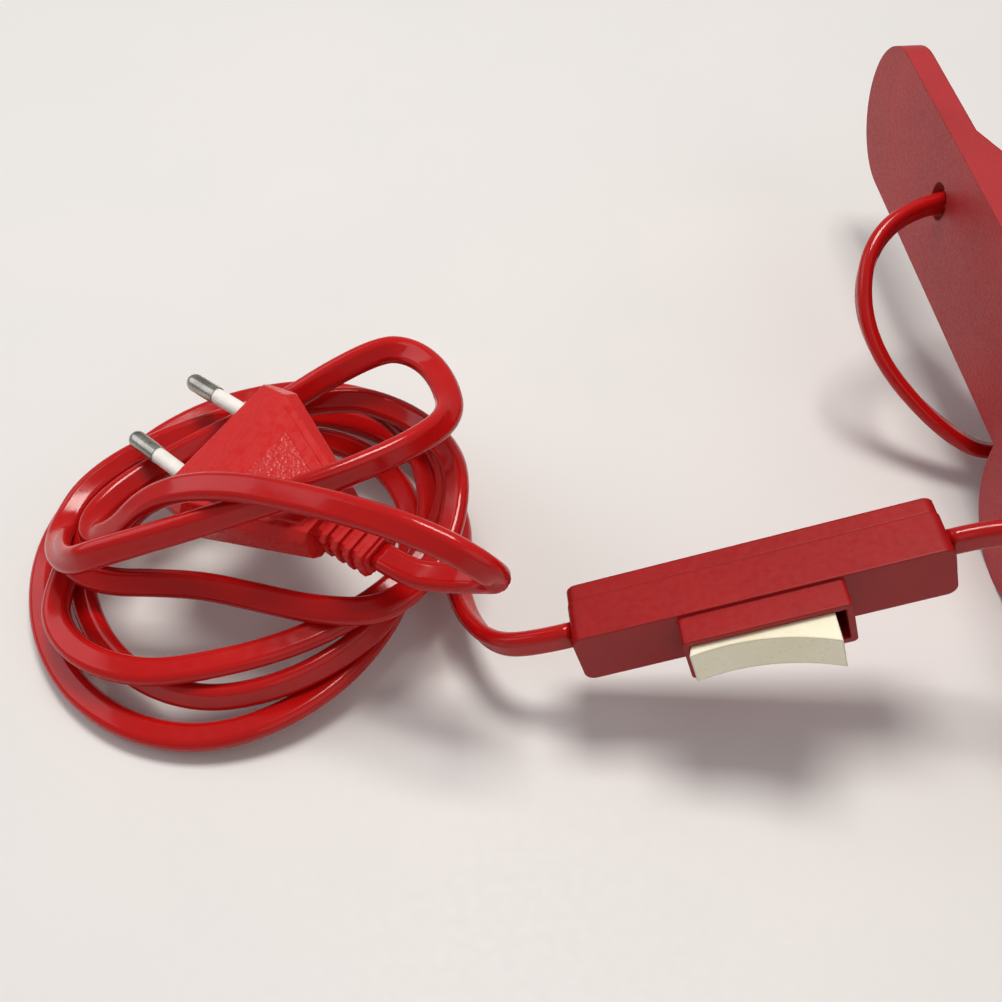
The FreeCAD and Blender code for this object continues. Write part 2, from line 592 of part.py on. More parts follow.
def make_cap():
    inner = SHOULDER_R + CAP_FIT
    ceiling = CAP_TOP - CAP_WALL
    cap = revolved([(inner, CAP_LOW), (CAP_R, CAP_LOW), (CAP_R, CAP_TOP - CAP_BEVEL),
                    (CAP_R - CAP_BEVEL, CAP_TOP), (0, CAP_TOP), (0, ceiling),
                    (inner - CAP_BEVEL, ceiling), (inner, CAP_TOP - CAP_BEVEL - 1)])
    vent_top = CAP_TOP - CAP_BEVEL - 4
    for k in range(VENTS):
        slot = box((CAP_R - 12, -VENT_WIDTH / 2, vent_top - VENT_HIGH),
                   (CAP_R + 1, VENT_WIDTH / 2, vent_top))
        slot.rotate(V(), UP, 360 * (k + 0.5) / VENTS)
        cap = cap.cut(slot)
    reach = TILT_AXIS - HEAD_REACH
    half = LUG_THICK / 2
    arm = 5.5
    neck = box((reach, -half, TILT_HEIGHT - arm), (-inner - 0.5, half, TILT_HEIGHT + arm))
    eye = rod(LUG_R, (reach, -half, TILT_HEIGHT), (reach, half, TILT_HEIGHT))
    cap = together([cap, neck, eye])
    cap = cap.cut(rod(BOLT_R + RUN_FIT, (reach, -CAP_R, TILT_HEIGHT), (reach, CAP_R, TILT_HEIGHT)))
    posts, screws = [], []
    bore = HOLDER_SCREW_R + 0.1
    for y in (-HOLDER_SCREW_AT, HOLDER_SCREW_AT):
        posts.append(pipe(bore + 1.8, bore, (0, y, HOLDER_TOP + 0.1), (0, y, ceiling + 0.5)))
        screws.append(together([rod(HOLDER_SCREW_R, (0, y, HOLDER_TOP - 16), (0, y, CAP_TOP + 0.4)),
                                rod(2 * HOLDER_SCREW_R, (0, y, CAP_TOP), (0, y, CAP_TOP + 1.8))]))
        cap = cap.cut(rod(bore, (0, y, ceiling - 1), (0, y, CAP_TOP + 1)))
    keep("holder_cap", on_head(together([cap] + posts)))
    keep("holder_screws", on_head(Part.makeCompound(screws)))


def bulb_outline(wall):
    """The reflector bulb's profile, turned into a solid, drawn in by wall."""
    face = V(0, 0, BULB_FACE + wall)
    rim = V(BULB_R - wall, 0, BULB_WIDEST)
    face_mid = V(0.78 * (BULB_R - wall), 0, BULB_FACE + wall + 5.5)
    neck = V(BULB_NECK_R - wall, 0, BULB_NECK_LOW)
    chord = neck - rim
    bulge = 3.4
    side_mid = rim + chord / 2 + V(-chord.z, 0, chord.x).normalize() * -bulge
    top = V(BULB_NECK_R - wall, 0, BULB_CAP_LOW)
    axis = V(0, 0, BULB_CAP_LOW)
    edges = [Part.Arc(face, face_mid, rim).toShape(), Part.Arc(rim, side_mid, neck).toShape(),
             Part.makeLine(neck, top), Part.makeLine(top, axis), Part.makeLine(axis, face)]
    return Part.Face(Part.Wire(edges)).revolve(V(), UP, 360)


def make_bulb():
    keep("bulb_glass", on_head(bulb_outline(0).cut(bulb_outline(GLASS_WALL))))
    seal_r = 8.0
    brass = 0.8
    cap = revolved([(BULB_CAP_R, BULB_CAP_LOW), (BULB_CAP_R, BULB_CAP_HIGH - 3), (seal_r, BULB_CAP_HIGH),
                    (seal_r, BULB_CAP_HIGH - brass), (BULB_CAP_R - 1, BULB_CAP_HIGH - 3 - brass),
                    (BULB_CAP_R - 1, BULB_CAP_LOW)])
    keep("bulb_cap", on_head(cap))
    crown = BULB_CAP_HIGH + 1.6
    keep("bulb_seal", on_head(revolved([(0, BULB_CAP_HIGH - brass), (seal_r, BULB_CAP_HIGH - brass),
                                        (seal_r, BULB_CAP_HIGH), (5, crown), (0, crown)])))
    keep("bulb_contact", on_head(revolved([(0, crown), (4, crown), (2.5, crown + 1.2), (0, crown + 1.2)])))
    spread = 4.0
    filament = BULB_NECK_LOW - 14
    stalk = BULB_NECK_LOW + 3
    parts = [rod(5.0, (0, 0, stalk), (0, 0, BULB_CAP_LOW)),
             rod(0.8, (-spread - 0.4, 0, filament), (spread + 0.4, 0, filament))]
    for x in (-spread, spread):
        parts.append(rod(0.5, (x, 0, filament), (x, 0, stalk + 2)))
    keep("bulb_filament_mount", on_head(together(parts)))


# ---- switch -------------------------------------------------------------------------------
def in_switch(shape):
    return framed(shape, SWITCH_AT, SWITCH_LONG_AXIS, SWITCH_FACE_AXIS)


def rounded_block(x, y, z0, z1, corner):
    block = box((-x, -y, z0), (x, y, z1))
    upright = [e for e in block.Edges if abs(e.tangentAt(e.FirstParameter).z) > 0.9]
    return block.makeFillet(corner, upright)


def rocker_shape():
    """Rocker about its own pivot: round below, hollowed above, before it leans."""
    half = FRAME_LONG / 2 - FRAME_WALL - ROCKER_FIT - 0.4
    wide = FRAME_WIDE / 2 - FRAME_WALL - ROCKER_FIT
    top, dip, belly = 8.6, 6.4, -4.0
    edges = [Part.Arc(V(-half, -wide, top), V(0, -wide, dip), V(half, -wide, top)).toShape(),
             Part.makeLine(V(half, -wide, top), V(half - 1.2, -wide, 0)),
             Part.Arc(V(half - 1.2, -wide, 0), V(0, -wide, belly), V(-half + 1.2, -wide, 0)).toShape(),
             Part.makeLine(V(-half + 1.2, -wide, 0), V(-half, -wide, top))]
    body = Part.Face(Part.Wire(edges)).extrude(V(0, 2 * wide, 0))
    trunnion = rod(1.2, (0, -wide - 0.9, 0), (0, wide + 0.9, 0))
    return together([body, trunnion])


def cord_mouth(x0, x1):
    """A slot for the flat lead, its width across the switch."""
    edge = CORD_FLAT / 2
    round_at = CORD_R - edge
    return together([box((x0, -round_at, -edge), (x1, round_at, edge)),
                     rod(edge, (x0, -round_at, 0), (x1, -round_at, 0)),
                     rod(edge, (x0, round_at, 0), (x1, round_at, 0))])


def make_switch():
    x, y, top = SWITCH_LONG / 2, SWITCH_WIDE / 2, SWITCH_THICK / 2
    joint = -top + BASE_THICK
    wall = SWITCH_WALL
    pivot_z = top + 1.6
    base = rounded_block(x - SEAM_STEP, y - SEAM_STEP, -top, joint, SWITCH_CORNER)
    base = base.cut(rounded_block(x - wall, y - wall, -top + wall, joint + 1, SWITCH_CORNER - wall))
    lid = rounded_block(x, y, joint, top, SWITCH_CORNER)
    lid = lid.cut(rounded_block(x - wall, y - wall, joint - 1, top - wall, SWITCH_CORNER - wall))
    lid = together([lid, rounded_block(FRAME_LONG / 2, FRAME_WIDE / 2, top - wall, top + FRAME_RISE, 1.0)])
    inner_x, inner_y = FRAME_LONG / 2 - FRAME_WALL, FRAME_WIDE / 2 - FRAME_WALL
    lid = lid.cut(box((-inner_x, -inner_y, top - wall - 1), (inner_x, inner_y, top + FRAME_RISE + 1)))
    lid = lid.cut(rod(1.2 + RUN_FIT, (0, -inner_y - 0.7, pivot_z), (0, inner_y + 0.7, pivot_z)))
    for end in (-x, x):
        mouth = cord_mouth(end - wall - 1, end + wall + 1)
        base = base.cut(mouth)
        lid = lid.cut(mouth)
    screws = []
    for sx in (-1, 1):
        at = sx * (x - 14.5)
        shank = rod(1.1, (at, 0, -top + 0.6), (at, 0, top - wall))
        screw = together([shank, rod(2.2, (at, 0, -top), (at, 0, -top + 1.0))])
        post = pipe(2.4, 1.1, (at, 0, joint + 0.2), (at, 0, top - wall + 0.3))
        lid = together([lid, post])
        base = base.cut(rod(2.3, (at, 0, -20), (at, 0, -top + 1.0))).cut(rod(1.2, (at, 0, -20), (at, 0, 20)))
        screws.append(screw)
    keep("switch_base_shell", in_switch(base))
    keep("switch_top_shell", in_switch(lid))
    keep("switch_housing_screws", in_switch(Part.makeCompound(screws)))
    rocker = rocker_shape()
    rocker.rotate(V(), V(0, 1, 0), -ROCKER_TURN)
    rocker.translate(V(0, 0, pivot_z))
    keep("switch_rocker", in_switch(rocker))
    bridge = box((-5, -2.2, -5.1), (5, 2.2, -4.5))
    bridge.rotate(V(), V(0, 1, 0), -ROCKER_TURN)
    post = rod(1.0, (0, 0, -4.8), (0, 0, -3.4))
    post.rotate(V(), V(0, 1, 0), -ROCKER_TURN)
    bridge = together([bridge, post.cut(rocker_shape().rotate(V(), V(0, 1, 0), -ROCKER_TURN))])
    bridge.translate(V(0, 0, pivot_z))
    keep("switch_contact_bridge", in_switch(bridge.cut(rocker)))
    fixed, grips, clamps = [], [], []
    for sx in (-1, 1):
        x0, x1 = sorted((sx * 10.5, sx * 17.5))
        block = box((x0, -2.6, joint - 1.0), (x1, 2.6, joint + 3.6))
        screw = together([rod(1.0, (sx * 14, 0, joint + 2), (sx * 14, 0, joint + 4.2)),
                          rod(1.9, (sx * 14, 0, joint + 3.6), (sx * 14, 0, joint + 4.8))])
        fixed.append(block.cut(screw))
        clamps.append(screw)
        g0, g1 = sorted((sx * (x - 8.5), sx * (x - 4.5)))
        grips.append(box((g0, -y + wall + 0.3, CORD_R + 0.1), (g1, y - wall - 0.3, CORD_R + 1.7)))
    keep("switch_terminals", in_switch(Part.makeCompound(fixed)))
    keep("switch_terminal_screws", in_switch(Part.makeCompound(clamps)))
    keep("switch_cord_grips", in_switch(Part.makeCompound(grips)))


# ---- plug ---------------------------------------------------------------------------------
def in_plug(shape):
    return framed(shape, PLUG_AT, PLUG_PIN_AXIS, PLUG_FACE_AXIS)


def section(x, wide, thick):
    y, z = wide / 2, thick / 2
    c = min(y, z) * 0.35
    corners = [(x, -y, -z + c), (x, -y + c, -z), (x, y - c, -z), (x, y, -z + c),
               (x, y, z - c), (x, y - c, z), (x, -y + c, z), (x, -y, z - c)]
    points = [V(*p) for p in corners]
    return Part.makePolygon(points + [points[0]])


def make_plug():
    stations = [section(0, PLUG_WIDE - 1.5, PLUG_FACE_THICK), section(-PLUG_BEVEL, PLUG_WIDE, PLUG_THICK),
                section(-PLUG_LONG, PLUG_TAIL_WIDE, PLUG_TAIL_THICK)]
    body = Part.makeLoft(stations, True, True)
    neck = section(-PLUG_LONG + 1, RELIEF_WIDE, RELIEF_THICK)
    tail = section(-PLUG_LONG - RELIEF_LONG, RELIEF_WIDE - 1.5, RELIEF_THICK - 1)
    relief = Part.makeLoft([neck, tail], True, True)
    body = together([body, relief])
    pins, sleeves, crimps = [], [], []
    for sign in (-1, 1):
        core = rod(PIN_CORE_R, (-PIN_ROOT, 0, 0), (SLEEVE_LONG + 0.5, 0, 0))
        shank = together([core, rod(PIN_R, (SLEEVE_LONG, 0, 0), (PIN_LONG - PIN_R, 0, 0)),
                          Part.makeSphere(PIN_R, V(PIN_LONG - PIN_R, 0, 0))])
        crimp = rod(CRIMP_R, (-PIN_ROOT - CRIMP_LONG, 0, 0), (-PIN_ROOT, 0, 0))
        sleeve = pipe(SLEEVE_R, PIN_CORE_R, (-1, 0, 0), (SLEEVE_LONG, 0, 0))
        for piece, group in ((shank, pins), (crimp, crimps), (sleeve, sleeves)):
            piece.rotate(V(), UP, sign * -PIN_TOE)
            piece.translate(V(0, sign * PIN_SPACING / 2, 0))
            group.append(piece)
    carrier = box((-13, -13.5, -3.2), (-4, 13.5, 3.2))
    for piece in pins:
        carrier = carrier.cut(piece)
    for piece in pins + sleeves + crimps + [carrier]:
        body = body.cut(piece)
    keep("plug_body", in_plug(body))
    keep("plug_pins", in_plug(Part.makeCompound(pins)))
    keep("plug_pin_sleeves", in_plug(Part.makeCompound(sleeves)))
    keep("plug_crimps", in_plug(Part.makeCompound(crimps)))
    keep("plug_pin_carrier", in_plug(carrier))


# ---- lead ---------------------------------------------------------------------------------
def lead_tube(name, route):
    """Straight runs joined by tangent arcs, as large as the two runs at each point allow."""
    points = [V(*p) for p in route]
    edges, at, radii = [], points[0], []
    for before, here, after in zip(points, points[1:], points[2:]):
        to, fro = (here - before), (after - here)
        turn = to.getAngle(fro)
        reach = 0.45 * min(to.Length, fro.Length)
        radius = reach / math.tan(turn / 2)
        radii.append(round(radius, 1))
        to.normalize()
        fro.normalize()
        start, end = here - to * reach, here + fro * reach
        inward = (fro - to).normalize()
        centre = here + inward * (radius / math.cos(turn / 2))
        middle = centre - inward * radius
        edges.append(Part.LineSegment(at, start).toShape())
        edges.append(Part.Arc(start, middle, end).toShape())
        at = end
    edges.append(Part.LineSegment(at, points[-1]).toShape())
    path = Part.Wire(edges)
    ring = Part.Wire(Part.makeCircle(CORD_R, points[0], points[1] - points[0]))
    tube = path.makePipeShell([ring], True, True)
    expected = math.pi * CORD_R ** 2 * path.Length
    print(name, "arc radii", radii, "length", round(path.Length, 1), "lowest",
          round(tube.BoundBox.ZMin, 2),
          "volume / section x length", round(tube.Volume / expected, 4))
    keep(name, tube)


def plug_nest():
    """The room in the coil that the plug lies in, open above and ahead of the pins."""
    side = PLUG_WIDE / 2 + NEST_GAP
    tail = PLUG_LONG + RELIEF_LONG + NEST_GAP
    low = (-tail, -side, -PLUG_THICK / 2 - NEST_GAP)
    return in_plug(box(low, (NEST_REACH, side, 2 * COIL_HIGH)))


def make_lead():
    lead_tube("lead_lamp_to_switch", LAMP_ROUTE)
    lead_tube("lead_switch_to_coil", COIL_ROUTE)
    outline = Part.BSplineCurve()
    outline.interpolate([V(x, y, 0) for x, y in COIL_OUTLINE], PeriodicFlag=True)
    coil = Part.Face(Part.Wire(outline.toShape())).extrude(V(0, 0, COIL_HIGH))
    keep("lead_coil", coil.cut(plug_nest()))


make_clamp()
make_stem()
make_knuckle()
make_shade()
make_holder()
make_ring()
make_cap()
make_bulb()
make_switch()
make_plug()
make_lead()

os.makedirs("parts", exist_ok=True)
for node, made in NODES.items():
    made.exportStep(f"parts/{node}.step")
lamp = [s for n, s in NODES.items() if not n.startswith(("lead", "plug", "switch"))]
bounds = Part.makeCompound(lamp).BoundBox
print("lamp box", [round(v, 2) for v in (bounds.XMin, bounds.XMax, bounds.YMin, bounds.YMax, bounds.ZMin,
                                         bounds.ZMax)], "centre", round(bounds.Center.x, 2),
      round(bounds.Center.y, 2), "nodes", len(NODES))
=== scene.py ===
import bmesh
import bpy
import json
import math
from mathutils import Matrix, Vector


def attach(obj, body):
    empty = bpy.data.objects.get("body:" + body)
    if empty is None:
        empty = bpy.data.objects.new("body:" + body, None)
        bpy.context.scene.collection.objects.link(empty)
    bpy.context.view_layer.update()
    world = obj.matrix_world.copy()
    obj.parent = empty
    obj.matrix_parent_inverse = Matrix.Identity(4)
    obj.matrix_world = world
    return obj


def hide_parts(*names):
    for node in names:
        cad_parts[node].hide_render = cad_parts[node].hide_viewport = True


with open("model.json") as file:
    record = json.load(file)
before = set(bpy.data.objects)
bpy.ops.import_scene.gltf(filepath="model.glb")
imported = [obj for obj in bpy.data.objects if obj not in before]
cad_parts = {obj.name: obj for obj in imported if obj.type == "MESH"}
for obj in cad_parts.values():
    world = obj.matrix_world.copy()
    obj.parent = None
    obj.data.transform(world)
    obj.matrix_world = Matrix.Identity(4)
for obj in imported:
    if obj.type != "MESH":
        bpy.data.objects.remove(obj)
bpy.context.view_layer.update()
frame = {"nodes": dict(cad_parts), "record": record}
MM = 0.001


def mm(x, y, z):
    return Vector((x, y, z)) * MM


# ---- camera ---------------------------------------------------------------------------------
def make_camera():
    data = bpy.data.cameras.new("camera")
    data.sensor_width = 36.0
    data.lens = 44.9
    data.clip_start = 0.01
    camera = bpy.data.objects.new("camera", data)
    bpy.context.scene.collection.objects.link(camera)
    camera.location = mm(-212.2, -193.5, 224.1)
    camera.rotation_euler = (math.radians(90 - 49), 0, math.radians(-4))
    bpy.context.scene.camera = camera


make_camera()


# ---- materials ------------------------------------------------------------------------------
def srgb(code):
    """A hex colour as linear RGBA."""
    channels = [int(code[i:i + 2], 16) / 255 for i in (1, 3, 5)]
    linear = [c / 12.92 if c <= 0.04045 else ((c + 0.055) / 1.055) ** 2.4 for c in channels]
    return (*linear, 1.0)


def add(tree, kind, links=(), **settings):
    """One node, its settings (by property or input name) and its incoming links."""
    node = tree.nodes.new(kind)
    for name, value in settings.items():
        if hasattr(node, name):
            setattr(node, name, value)
        else:
            node.inputs[name.replace("_", " ")].default_value = value
    for socket, source in links:
        tree.links.new(source, node.inputs[socket])
    return node


def start_material(name, colour, **shader):
    material = bpy.data.materials.new(name)
    material.use_nodes = True
    tree = material.node_tree
    tree.nodes.clear()
    surface = add(tree, "ShaderNodeBsdfPrincipled", **shader)
    surface.inputs["Base Color"].default_value = srgb(colour)
    add(tree, "ShaderNodeOutputMaterial", [("Surface", surface.outputs[0])])
    place = add(tree, "ShaderNodeTexCoord").outputs["Object"]
    return material, tree, surface, place


def per_metre(size_mm):
    """Noise scale for features of about this size, in an object measured in metres."""
    return 1.0 / (size_mm * MM)


def grain(tree, place, size_mm, detail=3.0):
    noise = add(tree, "ShaderNodeTexNoise", [("Vector", place)], Scale=per_metre(size_mm), Detail=detail)
    return noise.outputs["Fac"]


def spread(tree, fac, low, high, start=0.3, end=0.7):
    """Map a pattern to a range of plain values."""
    node = add(tree, "ShaderNodeMapRange", [("Value", fac)])
    node.inputs["From Min"].default_value = start
    node.inputs["From Max"].default_value = end
    node.inputs["To Min"].default_value = low
    node.inputs["To Max"].default_value = high
    return node.outputs["Result"]


def tint(tree, surface, fac, first, second):
    """Let the colour wander between two shades."""
    ramp = add(tree, "ShaderNodeValToRGB", [("Fac", fac)])
    ramp.color_ramp.elements[0].position = 0.3
    ramp.color_ramp.elements[0].color = srgb(first)
    ramp.color_ramp.elements[1].position = 0.7
    ramp.color_ramp.elements[1].color = srgb(second)
    tree.links.new(ramp.outputs["Color"], surface.inputs["Base Color"])


def relief(tree, surface, fac, height_mm, strength=1.0, edge_mm=0.0):
    """The pattern as surface relief; edge_mm rounds the look of sharp edges, as a mould leaves them."""
    bump = add(tree, "ShaderNodeBump", [("Height", fac)], Distance=height_mm * MM, Strength=strength)
    if edge_mm:
        edge = add(tree, "ShaderNodeBevel", samples=4, Radius=edge_mm * MM)
        tree.links.new(edge.outputs["Normal"], bump.inputs["Normal"])
    tree.links.new(bump.outputs["Normal"], surface.inputs["Normal"])


def rough(tree, surface, fac, low, high):
    tree.links.new(spread(tree, fac, low, high), surface.inputs["Roughness"])


def textured_polypropylene():
    """Moulded in a spark-eroded tool: a fine even grain that dulls the faces."""
    material, tree, surface, place = start_material(
        "polypropylene_spark_grain", "#A2161C", Roughness=0.5, IOR=1.49)
    pits = grain(tree, place, 0.55, 2.0)
    tint(tree, surface, grain(tree, place, 24, 4.0), "#9A141B", "#A81A20")
    rough(tree, surface, pits, 0.42, 0.62)
    relief(tree, surface, pits, 0.16, 0.7, 0.7)
    return material


def moulded_switch_red():
    """Satin moulded ABS: faint flow marks, slightly worn gloss."""
    material, tree, surface, place = start_material(
        "moulded_abs_red", "#960F10", Roughness=0.3, Specular_IOR_Level=0.3)
    marks = grain(tree, place, 1.3, 4.0)
    tint(tree, surface, grain(tree, place, 14), "#920E0F", "#9C1112")
    rough(tree, surface, marks, 0.30, 0.42)
    relief(tree, surface, marks, 0.02, 0.4, 0.6)
    return material


def glossy_pvc():
    """Extruded soft PVC sheath: wet gloss with long shallow draw lines."""
    material, tree, surface, place = start_material(
        "extruded_pvc_red", "#AE0F0F", Roughness=0.16, Specular_IOR_Level=0.32)
    surface.inputs["Subsurface Weight"].default_value = 0.06
    surface.inputs["Subsurface Radius"].default_value = (0.002, 0.0004, 0.0003)
    wave = grain(tree, place, 7.0, 2.0)
    tint(tree, surface, grain(tree, place, 30), "#A40D0D", "#B81110")
    rough(tree, surface, grain(tree, place, 2.2, 4.0), 0.10, 0.2)
    relief(tree, surface, wave, 0.12, 0.5)
    return material


def moulded_pvc(name, size_mm, height_mm):
    """The plug's moulded PVC: even gloss, or the stippled gripping panels."""
    material, tree, surface, place = start_material(name, "#C41614", Roughness=0.28, Specular_IOR_Level=0.35)
    stipple = grain(tree, place, size_mm, 2.0)
    tint(tree, surface, grain(tree, place, 11), "#BE1413", "#C61815")
    rough(tree, surface, stipple, 0.22, 0.38)
    relief(tree, surface, stipple, height_mm, 0.8, 0.6)
    return material


def urea_cream():
    """Compression-moulded urea, aged to cream."""
    material, tree, surface, place = start_material("urea_resin_cream", "#F0EACD", Roughness=0.3, IOR=1.55)
    surface.inputs["Subsurface Weight"].default_value = 0.1
    surface.inputs["Subsurface Radius"].default_value = (0.002, 0.0015, 0.0008)
    tint(tree, surface, grain(tree, place, 9), "#EDE6C8", "#F3EED6")
    rough(tree, surface, grain(tree, place, 1.5), 0.25, 0.36)
    relief(tree, surface, grain(tree, place, 1.0), 0.01, 0.4, 0.7)
    return material


def metal(name, colour, second, low, high, scratch_mm=0.35, stretch=(1, 1, 14)):
    """Bare or plated metal: fine directional scratches over patchy tarnish."""
    material, tree, surface, place = start_material(name, colour, Metallic=1.0, Roughness=0.3)
    drawn = add(tree, "ShaderNodeMapping", [("Vector", place)])
    drawn.inputs["Scale"].default_value = [1 / s for s in stretch]
    scratches = grain(tree, drawn.outputs["Vector"], scratch_mm, 3.0)
    tint(tree, surface, grain(tree, place, 5, 4.0), colour, second)
    rough(tree, surface, scratches, low, high)
    relief(tree, surface, scratches, 0.015, 0.35)
    return material


def enamel_red():
    """Stoved gloss enamel on spun steel: slight orange peel under a clear skin."""
    material, tree, surface, place = start_material("stoved_enamel_red", "#B1101B", Roughness=0.22, IOR=1.52)
    surface.inputs["Coat Weight"].default_value = 0.4
    surface.inputs["Coat Roughness"].default_value = 0.06
    tint(tree, surface, grain(tree, place, 40), "#A90F19", "#B8121E")
    rough(tree, surface, grain(tree, place, 3.0), 0.18, 0.30)
    relief(tree, surface, grain(tree, place, 2.4, 1.0), 0.05, 0.35)
    return material


def porcelain():
    """Glazed steatite: hard white gloss, uneven glaze."""
    material, tree, surface, place = start_material("glazed_porcelain", "#ECE8DC", Roughness=0.12, IOR=1.5)
    tint(tree, surface, grain(tree, place, 8), "#E8E3D4", "#F1EEE4")
    rough(tree, surface, grain(tree, place, 4.0), 0.08, 0.2)
    relief(tree, surface, grain(tree, place, 5.0, 1.0), 0.08, 0.4)
    return material


def phenolic():
    """Black pressed phenolic: deep gloss with a faint orange peel."""
    material, tree, surface, place = start_material(
        "pressed_phenolic_black", "#15120F", Roughness=0.25, IOR=1.6)
    tint(tree, surface, grain(tree, place, 12), "#120F0D", "#1C1814")
    rough(tree, surface, grain(tree, place, 1.8), 0.2, 0.34)
    relief(tree, surface, grain(tree, place, 1.4), 0.02, 0.4)
    return material


def black_nylon():
    """Moulded black nylon: matt, slightly mottled."""
    material, tree, surface, place = start_material("moulded_nylon_black", "#1B1B1C", Roughness=0.5, IOR=1.53)
    tint(tree, surface, grain(tree, place, 6), "#171718", "#222223")
    rough(tree, surface, grain(tree, place, 0.9), 0.42, 0.6)
    relief(tree, surface, grain(tree, place, 0.8), 0.03, 0.5)
    return material


def white_nylon():
    """The white insulating sleeves of the pins."""
    material, tree, surface, place = start_material(
        "moulded_nylon_white", "#E9E7E0", Roughness=0.35, IOR=1.53)
    surface.inputs["Subsurface Weight"].default_value = 0.12
    surface.inputs["Subsurface Radius"].default_value = (0.0015, 0.0015, 0.0012)
    tint(tree, surface, grain(tree, place, 3), "#E2E0D8", "#F0EEE8")
    rough(tree, surface, grain(tree, place, 0.9), 0.3, 0.42)
    relief(tree, surface, grain(tree, place, 0.7), 0.01, 0.4)
    return material


def vulcanised_rubber():
    """Black rubber jaw pads: matt with a dusty bloom."""
    material, tree, surface, place = start_material("vulcanised_rubber", "#1E1D1C", Roughness=0.8, IOR=1.52)
    tint(tree, surface, grain(tree, place, 4, 5.0), "#191817", "#2B2A28")
    rough(tree, surface, grain(tree, place, 1.0), 0.7, 0.92)
    relief(tree, surface, grain(tree, place, 0.6), 0.05, 0.6)
    return material


def ruby_glass():
    """Ruby-stained reflector bulb glass."""
    material, tree, surface, place = start_material("ruby_stained_glass", "#8E0A08", Roughness=0.08, IOR=1.5)
    surface.inputs["Transmission Weight"].default_value = 0.35
    tint(tree, surface, grain(tree, place, 25), "#860806", "#9A0D0A")
    rough(tree, surface, grain(tree, place, 3.0), 0.05, 0.12)
    relief(tree, surface, grain(tree, place, 9.0, 1.0), 0.06, 0.3)
    return material


MATERIALS = {
    "red_grained": textured_polypropylene(),
    "rubber": vulcanised_rubber(),
    "spring_steel": metal("drawn_spring_steel", "#7E7F82", "#A0A1A3", 0.22, 0.4),
    "black_plastic": black_nylon(),
    "chrome": metal("chromium_plate", "#D4D6DA", "#E6E8EA", 0.05, 0.14),
    "zinc_steel": metal("zinc_plated_steel", "#AEB3B8", "#C9CCCF", 0.25, 0.42),
    "red_enamel": enamel_red(),
    "porcelain": porcelain(),
    "brass": metal("stamped_brass", "#B8924A", "#CFAE68", 0.2, 0.36),
    "brass_screw": metal("turned_brass", "#AF8B45", "#C6A25A", 0.24, 0.4),
    "black_bakelite": phenolic(),
    "ruby_glass": ruby_glass(),
    "bulb_inner": metal("tungsten_and_nickel", "#8C8A86", "#A9A7A2", 0.3, 0.5),
    "red_switch": moulded_switch_red(),
    "cream_plastic": urea_cream(),
    "red_plug": moulded_pvc("moulded_pvc_smooth", 2.0, 0.008),
    "pin_metal": metal("nickel_plated_brass", "#8D8982", "#B4B0A8", 0.2, 0.38, 0.5, (1, 1, 4)),
    "pin_sleeve": white_nylon(),
    "red_lead": glossy_pvc(),
}
STIPPLE = moulded_pvc("moulded_pvc_stippled", 0.9, 0.45)


def finish_node(node, material):
    data = frame["nodes"][node].data
    data.materials.clear()
    data.materials.append(material)


for part in frame["record"]["subparts"]:
    finish_node(part["node"], MATERIALS[part["material_slot"]])


# ---- pieces ---------------------------------------------------------------------------------
def piece(name, mesh, body, slot, smooth=True):
    """A mesh as a named piece on a body, with the finish of a material slot."""
    thing = bpy.data.objects.new(name, mesh)
    bpy.context.scene.collection.objects.link(thing)
    if not mesh.materials:
        mesh.materials.append(MATERIALS[slot])
    for face in mesh.polygons:
        face.use_smooth = smooth
    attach(thing, body)
    return thing


def spline_points(route, steps):
    """Points along the NURBS spline whose control points are the route."""
    data = bpy.data.curves.new("route", "CURVE")
    data.dimensions = "3D"
    data.resolution_u = steps
    spline = data.splines.new("NURBS")
    spline.points.add(len(route) - 1)
    for point, at in zip(spline.points, route):
        point.co = (*(Vector(at) * MM), 1.0)
    spline.order_u = 3
    spline.use_endpoint_u = True
    carrier = bpy.data.objects.new("route", data)
    mesh = bpy.data.meshes.new_from_object(carrier)
    points = [vertex.co.copy() for vertex in mesh.vertices]
    bpy.data.meshes.remove(mesh)
    bpy.data.objects.remove(carrier)
    return points


# The flat lead: two cores side by side under one sheath, width by thickness.
SPLINE_STEPS = 8
LEAD_WIDE = 6.0
LEAD_THICK = 3.6
WAIST = 0.25                  # the shallow groove between the cores


def lead_section():
    """Half-round edges and a slight waist between the two cores."""
    edge = LEAD_THICK / 2
    offset = (LEAD_WIDE - LEAD_THICK) / 2
    ring = []
    for side in (1, -1):
        for k in range(9):
            a = math.radians(-90 + 22.5 * k)
            ring.append((side * (offset + edge * math.cos(a)), side * edge * math.sin(a)))
        ring.append((0, side * (edge - WAIST)))
    return ring


def sweep(name, points, widths, section):
    """Sweep a section along points; widths gives the direction of its width at each."""
    bm = bmesh.new()
    rings = []
    last = len(points) - 1
    for i, at in enumerate(points):
        ahead = (points[min(i + 1, last)] - points[max(i - 1, 0)]).normalized()
        wide = (widths[i] - ahead * widths[i].dot(ahead)).normalized()
        thick = ahead.cross(wide)
        rings.append([bm.verts.new(at + (wide * u + thick * v) * MM) for u, v in section])
    count = len(rings[0])
    for near, far in zip(rings, rings[1:]):
        for k in range(count):
            bm.faces.new((near[k], near[(k + 1) % count], far[(k + 1) % count], far[k]))
    bm.faces.new(list(reversed(rings[0])))
    bm.faces.new(rings[-1])
    bmesh.ops.recalc_face_normals(bm, faces=bm.faces)
    mesh = bpy.data.meshes.new(name)
    bm.to_mesh(mesh)
    bm.free()
    return mesh


def eased(t):
    t = max(0.0, min(1.0, t))
    return t * t * (3 - 2 * t)


